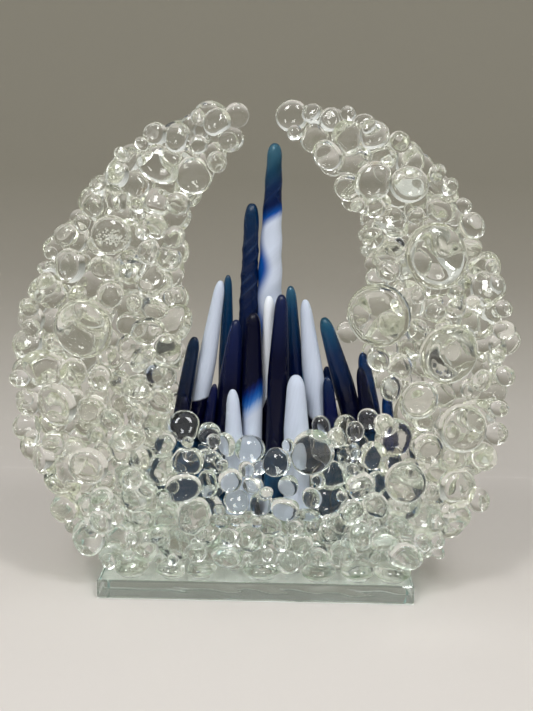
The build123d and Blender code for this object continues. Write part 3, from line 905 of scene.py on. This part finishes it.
looks = {
    "tall_spike": dict(
        stops=[(0, OPAL, 0.0), (235, OPAL, 0.0), (240, ROYAL, 0.1), (246, "#081c4c", 0.3),
               (258, "#0a2a58", 0.4), (268, "#1c5478", 0.6), (281, "#4a8cab", 0.7)],
        slant=-0.6, ragged=3.0, wash=(ROYAL, 7.5, 3.0, 41.5, 240),
        twist=2.6, ridges=4, ridge_depth=0.15, ridge_from=238, bend=-0.6),
    "twisted_spike": dict(
        stops=[*painted_light_foot(84), (100, INK, 0.3), (150, "#050e38", 0.3), (215, "#06224e", 0.4),
               (232, "#07305e", 0.6), (246, "#0c4470", 0.7)],
        twist=3.0, ridges=4, ridge_depth=0.35, ridge_from=165),
    "left_teal_spike": dict(
        stops=[(0, PAINTED_LIGHT_TEAL, 0.3), (100, NAVY, 0.4), (130, "#0b305c", 0.5), (170, "#0e4274", 0.6),
               (200, "#1a5680", 0.7)]),
    "left_white_spike": dict(
        stops=[*painted_light_foot(84), (98, INK, 0.3), (120.6, INK, 0.3), (121.4, OPAL, 0.0)], slant=-0.5),
    # The paler stops at the top of this rod are painted sheen
    "left_navy_spike": dict(
        stops=[*painted_light_foot(82), (98, INK, 0.3), (130, INK, 0.3), (160, "#141f50", 0.4), (174, "#1c2c5c", 0.5)]),
    "left_blue_spike": dict(stops=[*painted_light_foot(90), (104, INK, 0.3), (133, NAVY, 0.4)]),
    "left_stub": dict(stops=[*painted_light_foot(92), (104, INK, 0.3), (124, "#060b32", 0.4)]),
    "far_left_spike": dict(
        stops=[*painted_light_foot(92), (106, INK, 0.3), (130, "#06183a", 0.4), (161, "#0c2e54", 0.6)]),
    "small_white_stub": dict(stops=[(0, OPAL, 0.0), (130, OPAL, 0.0)]),
    "dipped_spike": dict(
        stops=[(0, OPAL, 0.0), (113, OPAL, 0.0), (118, "#9db2d6", 0.0), (122, "#3a70b6", 0.0),
               (126, ROYAL, 0.1), (131, "#0a1c5a", 0.2), (135, INK, 0.3), (178, INK, 0.4)],
        slant=-0.8, ragged=5.0),
    # This rod's white is painted lighter against the shade of its neighbours
    "thin_white_spike": dict(
        stops=[*painted_light_foot(84), (100, INK, 0.3), (126, INK, 0.3), (127, OPAL_PAINTED_LIGHTER, 0.0), (188, OPAL_PAINTED_LIGHTER, 0.0)],
        slant=-2.8),
    # The paler stop at the top of this rod is painted sheen
    "centre_navy_spike": dict(
        stops=[*painted_light_foot(78), (94, INK, 0.3), (150, INK, 0.3), (190, "#1a2858", 0.5)]),
    "slim_blue_spike": dict(
        stops=[(0, PAINTED_LIGHT_TEAL, 0.3), (100, NAVY, 0.3), (150, "#0a1d4a", 0.4), (180, "#1a4c78", 0.6),
               (195, "#3a7a9c", 0.7)]),
    "wide_white_stub": dict(stops=[(0, OPAL, 0.0), (140, OPAL, 0.0)]),
    "right_white_spike": dict(
        stops=[*painted_light_foot(84), (96, INK, 0.3), (107, INK, 0.3), (109, OPAL, 0.0), (186, OPAL, 0.0)],
        slant=0.9, wash=("#1d5f86", 1.6, 0.3, 30.0, 190)),
    "right_navy_spike": dict(
        stops=[*painted_light_foot(84), (98, INK, 0.3), (120, NAVY, 0.4), (139, "#10305e", 0.5)]),
    "hidden_navy_spike": dict(stops=[(0, PAINTED_LIGHT_TEAL, 0.3), (100, NAVY, 0.3), (142, "#0e2a5c", 0.4)]),
    "right_blue_spike": dict(
        stops=[*painted_light_foot(88), (104, INK, 0.3), (125, INK, 0.4), (152, "#0a2c5c", 0.5), (166, "#185680", 0.6),
               (175, "#2f7290", 0.7)],
        bend=1.2),
    "outer_blue_spike": dict(
        stops=[(0, PAINTED_LIGHT_TEAL, 0.3), (100, NAVY, 0.3), (125, "#08265c", 0.4), (151, "#10427e", 0.6)]),
    "outer_navy_spike": dict(stops=[*painted_light_foot(96), (108, INK, 0.3), (145, "#070b2c", 0.4)]),
    "far_right_spike": dict(stops=[(0, PAINTED_LIGHT_TEAL, 0.3), (96, NAVY, 0.3), (127, "#0f3f80", 0.5)]),
}
print(len(looks), "looks, with", sum(len(look["stops"]) for look in looks.values()), "stops of colour")

# %% Spikes
PLAIN_TWIST = 0.5
PLAIN_RAGGED = 0.8
for name in spike_nodes:
    look = looks[name]
    rod = rods[name]
    piece = build_spike(
        name, look.get("twist", PLAIN_TWIST), look.get("ridges", 0), look.get("ridge_depth", 0.0),
        rod.along_at(look.get("ridge_from", 0)), look.get("bend", 0.0))
    stops = [(max(0.0, rod.along_at(height)), tone, clear) for height, tone, clear in look["stops"]]
    wash = look.get("wash")
    if wash:
        wash = wash[:4] + (rod.along_at(wash[4]),)
    material = satin_glass(
        "satin_glass_rod_" + name, stops, rod.length, rod.foot_radius,
        look.get("slant", 0.0), look.get("ragged", PLAIN_RAGGED), wash)
    piece.data.materials.append(material)
    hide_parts(name)
    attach(piece, "root")
    print(piece.name, round(rod.length, 1), "mm long")

# %% [markdown]
# ## Base plate
# The plate is 12 mm float glass with a faint green from iron. Its sides were ground, but the front edge was
# broken by hand and shows the scallops of a conchoidal fracture. A plain box would give a mirror-flat front,
# so the plate is swept along its length from a section whose front face is pushed in and out by a few
# overlapping waves, stronger towards the right.

# %% Broken front edge
plate_low, plate_high = (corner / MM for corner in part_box("base_plate"))
plate_high.z -= LIFT
SCALLOP = 0.9
# The break is slight on the left, grows from a place on over a length, and is full on the right
BREAK_START, BREAK_GROWTH, BREAK_LEAST = -60.0, 40.0, 0.12
# Lengths and shares of the waves along the edge and up it
LONG_WAVE, LONG_SWAY, SWAY_WAVE = 9.0, 1.7, 4.1
SHORT_SHARE, SHORT_WAVE, SHORT_RISE = 0.6, 4.3, 2.7
HOOK_WAVE, HOOK_RISE, HOOK_SWAY, HOOK_SWAY_WAVE = 13.0, 6.0, 0.8, 21.0
BREAK_MEAN, WAVE_SHARE, HOOK_SHARE = 0.55, 0.2, 0.45


def front_break(x, z):
    """How far the broken front face stands back at a place, in millimetres."""
    share = np.clip((x - BREAK_START) / BREAK_GROWTH, BREAK_LEAST, 1)
    waves = np.sin(x / LONG_WAVE + LONG_SWAY * np.sin(z / SWAY_WAVE))
    waves = waves + SHORT_SHARE * np.sin(x / SHORT_WAVE - z / SHORT_RISE)
    hooks = np.abs(np.sin(x / HOOK_WAVE + z / HOOK_RISE + HOOK_SWAY * np.sin(x / HOOK_SWAY_WAVE)))
    bulge = hooks * np.sin(np.pi * z / plate_high.z)
    return SCALLOP * share * (BREAK_MEAN + WAVE_SHARE * waves + HOOK_SHARE * bulge)


print("front edge stands back up to", SCALLOP, "mm or so")

# %% Plate
# Blunted edge, then the stations along the plate and the rows up its front and across its flats
ARRIS = 1.0
STATIONS = 260
FRONT_ROWS = 22
FLAT_ROWS = 8
FLAT_INSET = 6.0
CORNER_MARGIN = 0.5


def build_plate():
    """Plate with blunted edges, swept along its length from a section with many rows at the front."""
    across = np.linspace(plate_low.x, plate_high.x, STATIONS)
    upright = np.linspace(plate_low.z + ARRIS, plate_high.z - ARRIS, FRONT_ROWS)
    front, back = plate_low.y, plate_high.y
    level = np.linspace(front + FLAT_INSET, back - FLAT_INSET, FLAT_ROWS)
    section = [(front, z) for z in upright]
    section += [(front + ARRIS, plate_high.z)]
    section += [(y, plate_high.z) for y in level]
    section += [(back - ARRIS, plate_high.z), (back, plate_high.z - ARRIS), (back, plate_low.z + ARRIS)]
    section += [(back - ARRIS, plate_low.z)]
    section += [(y, plate_low.z) for y in level[::-1]]
    section += [(front + ARRIS, plate_low.z)]
    middle_y, middle_z = (front + back) / 2, plate_high.z / 2
    places = []
    for x in across:
        end = max(0.0, ARRIS - min(x - plate_low.x, plate_high.x - x))
        for y, z in section:
            on_side = abs(z - middle_z) < middle_z - CORNER_MARGIN
            on_flat = abs(y - middle_y) < (back - front) / 2 - CORNER_MARGIN
            y_in = y - np.sign(y - middle_y) * end * on_side
            z_in = z - np.sign(z - middle_z) * end * on_flat
            if y < front + 2 * ARRIS:
                y_in += front_break(x, z)
            places.append((x, y_in, min(max(z_in, 0.0), plate_high.z)))
    count = len(section)
    faces = []
    for station in range(len(across) - 1):
        for step in range(count):
            after = (step + 1) % count
            low, high = station * count, (station + 1) * count
            faces.append((low + step, high + step, high + after, low + after))
    last = (len(across) - 1) * count
    faces.append(tuple(range(count)))
    faces.append(tuple(range(last, last + count))[::-1])
    piece = new_piece("float_glass_plate", np.array(places) * MM, faces, smooth=False)
    piece.data.validate()
    return piece


plate = build_plate()
plate_glass = clear_glass("float_glass_cut_and_broken", tint="#d2efec", density=7.0)
plate.data.materials.append(plate_glass)
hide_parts("base_plate")
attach(plate, "root")
print("plate", len(plate.data.polygons), "faces")

# %% [markdown]
# ## Glue spots
# A film of clear adhesive sits under each nugget that stands on the plate. The CAD discs already have the
# right shape and size, so they stay and only get a material.

# %% Glue
adhesive = clear_glass("clear_cured_adhesive", tint="#f2f2ee", density=4.0, roughness=0.05)
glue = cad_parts["glue_spots"]
glue.data.materials.clear()
glue.data.materials.append(adhesive)
print("glue spots keep their CAD shape")

# %% [markdown]
# ## Stage
# A pale table runs up into a grey wall in one sweep, as a photographer's paper does. The tone darkens
# smoothly up the sweep and far out from the object, which is painted shade on top of the wall's own grey, and
# a white card under the glass plate is painted light that lifts the plate's colour. Glass shows its
# surroundings more than itself, so the room is a quiet grey that gets lighter overhead, and two small ceiling
# lamps give each nugget its pair of highlights. The wall is seen from the front only: from behind, and far
# out to both sides, it lets the view through.

# %% Paper
PAPER_FINISH = {"Roughness": 0.9, "Specular IOR Level": 0.1}
# Metres out to the sides, up the wall and away from the object
WALL_FADE = (0.45, 0.9)
GREY_AND_SHADE_HEIGHT = 0.26
FAR_PAINTED_SHADE = (0.55, 1.8)
GREY_AND_SHADE_RISE = 0.4


def paper_material(name, is_wall):
    """Matt paper, pale round the object, darkened to grey up the wall and far out by painted shade over the
    wall's own grey.
    """
    material = new_material(name)
    tree = material.node_tree
    place = put(tree, "ShaderNodeTexCoord").outputs["Object"]
    split = put(tree, "ShaderNodeSeparateXYZ", {"Vector": place})
    # Painted shade: the tone darkens smoothly up the sweep and far from the object, beyond the wall's own
    # grey
    climb = put(tree, "ShaderNodeMapRange", {"Value": split.outputs["Z"], "From Max": GREY_AND_SHADE_HEIGHT})
    rise = put(tree, "ShaderNodeMath", {0: climb.outputs["Result"], 1: GREY_AND_SHADE_RISE}, operation="POWER")
    reach = put(tree, "ShaderNodeVectorMath", {0: place}, operation="LENGTH")
    far = put(tree, "ShaderNodeMapRange", {
        "Value": reach.outputs["Value"], "From Min": FAR_PAINTED_SHADE[0], "From Max": FAR_PAINTED_SHADE[1],
    }, interpolation_type="SMOOTHSTEP")
    share = put(tree, "ShaderNodeMath", {
        0: rise.outputs["Value"], 1: far.outputs["Result"],
    }, operation="MAXIMUM")
    tone = put(tree, "ShaderNodeMix", {
        "Factor": share.outputs["Value"], "A": colour("#d8d2ce"), "B": colour("#8a867b"),
    }, data_type="RGBA")
    skin = put(tree, "ShaderNodeBsdfPrincipled", {"Base Color": tone.outputs["Result"], **PAPER_FINISH})
    surface = skin.outputs["BSDF"]
    if is_wall:
        sideways = put(tree, "ShaderNodeMath", {0: split.outputs["X"]}, operation="ABSOLUTE")
        fade = put(tree, "ShaderNodeMapRange", {
            "Value": sideways.outputs["Value"], "From Min": WALL_FADE[0], "From Max": WALL_FADE[1],
        }, interpolation_type="SMOOTHSTEP")
        behind = put(tree, "ShaderNodeNewGeometry").outputs["Backfacing"]
        open_share = put(tree, "ShaderNodeMath", {0: fade.outputs["Result"], 1: behind}, operation="MAXIMUM")
        nothing = put(tree, "ShaderNodeBsdfTransparent").outputs["BSDF"]
        mixed = put(tree, "ShaderNodeMixShader", {0: open_share.outputs["Value"], 1: surface, 2: nothing})
        surface = mixed.outputs["Shader"]
    put(tree, "ShaderNodeOutputMaterial", {"Surface": surface})
    return material


table_paper = paper_material("matt_table_paper", False)
wall_paper = paper_material("matt_wall_paper", True)
print("made", table_paper.name, "and", wall_paper.name)

# %% Table and wall
# Metres
WALL_PLACE = 0.42
WALL_HEIGHT = 3.0
SWEEP_RADIUS = 0.16
SWEEP_STEPS = 12
FLOOR_LEVEL = -0.3 * MM
PAPER_REACH = 6.0


def sheet(name, profile, material):
    """Wide sheet of paper whose side view is a row of (depth, height) places in metres."""
    corners = [(x, y, z + FLOOR_LEVEL) for y, z in profile for x in (-PAPER_REACH, PAPER_REACH)]
    faces = [(2 * i, 2 * i + 1, 2 * i + 3, 2 * i + 2) for i in range(len(profile) - 1)]
    paper = new_piece(name, corners, faces)
    paper.data.materials.append(material)


sweep = []
for step in range(SWEEP_STEPS + 1):
    angle = math.pi / 2 * step / SWEEP_STEPS
    forward, up = SWEEP_RADIUS * (math.sin(angle) - 1), SWEEP_RADIUS * (1 - math.cos(angle))
    sweep.append((WALL_PLACE + forward, up))
sweep.append((WALL_PLACE, WALL_HEIGHT))
sheet("table_paper", [(-PAPER_REACH, 0.0), (PAPER_REACH, 0.0)], table_paper)
sheet("wall_paper", sweep, wall_paper)
print("table and wall,", len(sweep), "stations in the sweep")

# %% White card, painted light under the plate
card_ends = (plate_low.x * MM, plate_high.x * MM)
card_sides = (plate_low.y * MM, plate_high.y * MM)
card_corners = [(x, y, FLOOR_LEVEL / 2) for x in card_ends for y in card_sides]
# The near-white card is painted light: it brightens the floor seen through the plate
card = new_piece("painted_light_card", card_corners, [(0, 2, 3, 1)], smooth=False)
card_material = new_material("matt_painted_light_card")
card_skin = put(card_material.node_tree, "ShaderNodeBsdfPrincipled", {
    "Base Color": colour("#f4f3f0"), **PAPER_FINISH,
})
put(card_material.node_tree, "ShaderNodeOutputMaterial", {"Surface": card_skin.outputs["BSDF"]})
card.data.materials.append(card_material)
print("card", [round(side / MM) for side in card_ends], "mm along the plate")

# %% Light of the room
world = bpy.data.worlds.new("grey_room")
bpy.context.scene.world = world
world.use_nodes = True
room = world.node_tree
room.nodes.clear()
room_way = put(room, "ShaderNodeTexCoord").outputs["Generated"]
room_height = put(room, "ShaderNodeSeparateXYZ", {"Vector": room_way}).outputs["Z"]
room_share = put(room, "ShaderNodeMapRange", {"Value": room_height})
room_tone = put(room, "ShaderNodeMix", {
    "Factor": room_share.outputs["Result"], "A": colour("#7d7e78"), "B": colour("#e8eae7"),
}, data_type="RGBA")
room_light = put(room, "ShaderNodeBackground", {"Color": room_tone.outputs["Result"], "Strength": 1.0})
put(room, "ShaderNodeOutputWorld", {"Surface": room_light.outputs["Background"]})
print("made", world.name)

# %% Lamps
LAMP_AIM = Vector((0, 0, 0.12))
LAMP_SIDES = (0.3, 0.5)


def ceiling_lamp(name, place, power):
    """Rectangular lamp at a place in metres that shines on the middle of the sculpture."""
    light = bpy.data.lights.new(name, "AREA")
    light.shape = "RECTANGLE"
    light.size, light.size_y = LAMP_SIDES
    light.energy = power
    lamp = bpy.data.objects.new(name, light)
    lamp.location = place
    lamp.rotation_euler = (LAMP_AIM - Vector(place)).to_track_quat("-Z", "Y").to_euler()
    bpy.context.scene.collection.objects.link(lamp)


ceiling_lamp("ceiling_lamp_left", (-0.45, -1.0, 1.3), power=9.0)
ceiling_lamp("ceiling_lamp_right", (0.5, -0.9, 1.35), power=8.0)
print("two ceiling lamps, each", LAMP_SIDES, "m")

# %% [markdown]
# ## Camera
# The camera stands a little above the middle of the sculpture and looks slightly down, straight on to the
# broken edge of the plate, and leans by almost a degree, as a camera held in the hand does.

# %% Camera
LENS_PIXELS = 1100.0
LEAN = 0.92
IMAGE_HEIGHT = 711
lens = bpy.data.cameras.new("camera")
lens.sensor_width = 36.0
lens.lens = LENS_PIXELS / IMAGE_HEIGHT * lens.sensor_width
camera = bpy.data.objects.new("camera", lens)
stand = Vector((14.8, -694.5, 268.1)) * MM
aim = Vector((4.1, 0.0, 150.9)) * MM
level = (aim - stand).to_track_quat("-Z", "Y").to_matrix().to_4x4()
camera.matrix_world = Matrix.Translation(stand) @ level @ Matrix.Rotation(math.radians(LEAN), 4, "Z")
bpy.context.scene.collection.objects.link(camera)
bpy.context.scene.camera = camera
print("lens", round(lens.lens, 1), "mm")

# %% [markdown]
# ## Render settings that glass needs
# Light crosses a dozen glass surfaces on its way through a cluster, so paths may be long. Colours are shown
# as they are, with no film curve.

# %% View and path length
scene = bpy.context.scene
scene.view_settings.view_transform = "Standard"
scene.cycles.max_bounces = 64
scene.cycles.transmission_bounces = 64
scene.cycles.glossy_bounces = 48
scene.cycles.diffuse_bounces = 4
scene.cycles.blur_glossy = 0.0
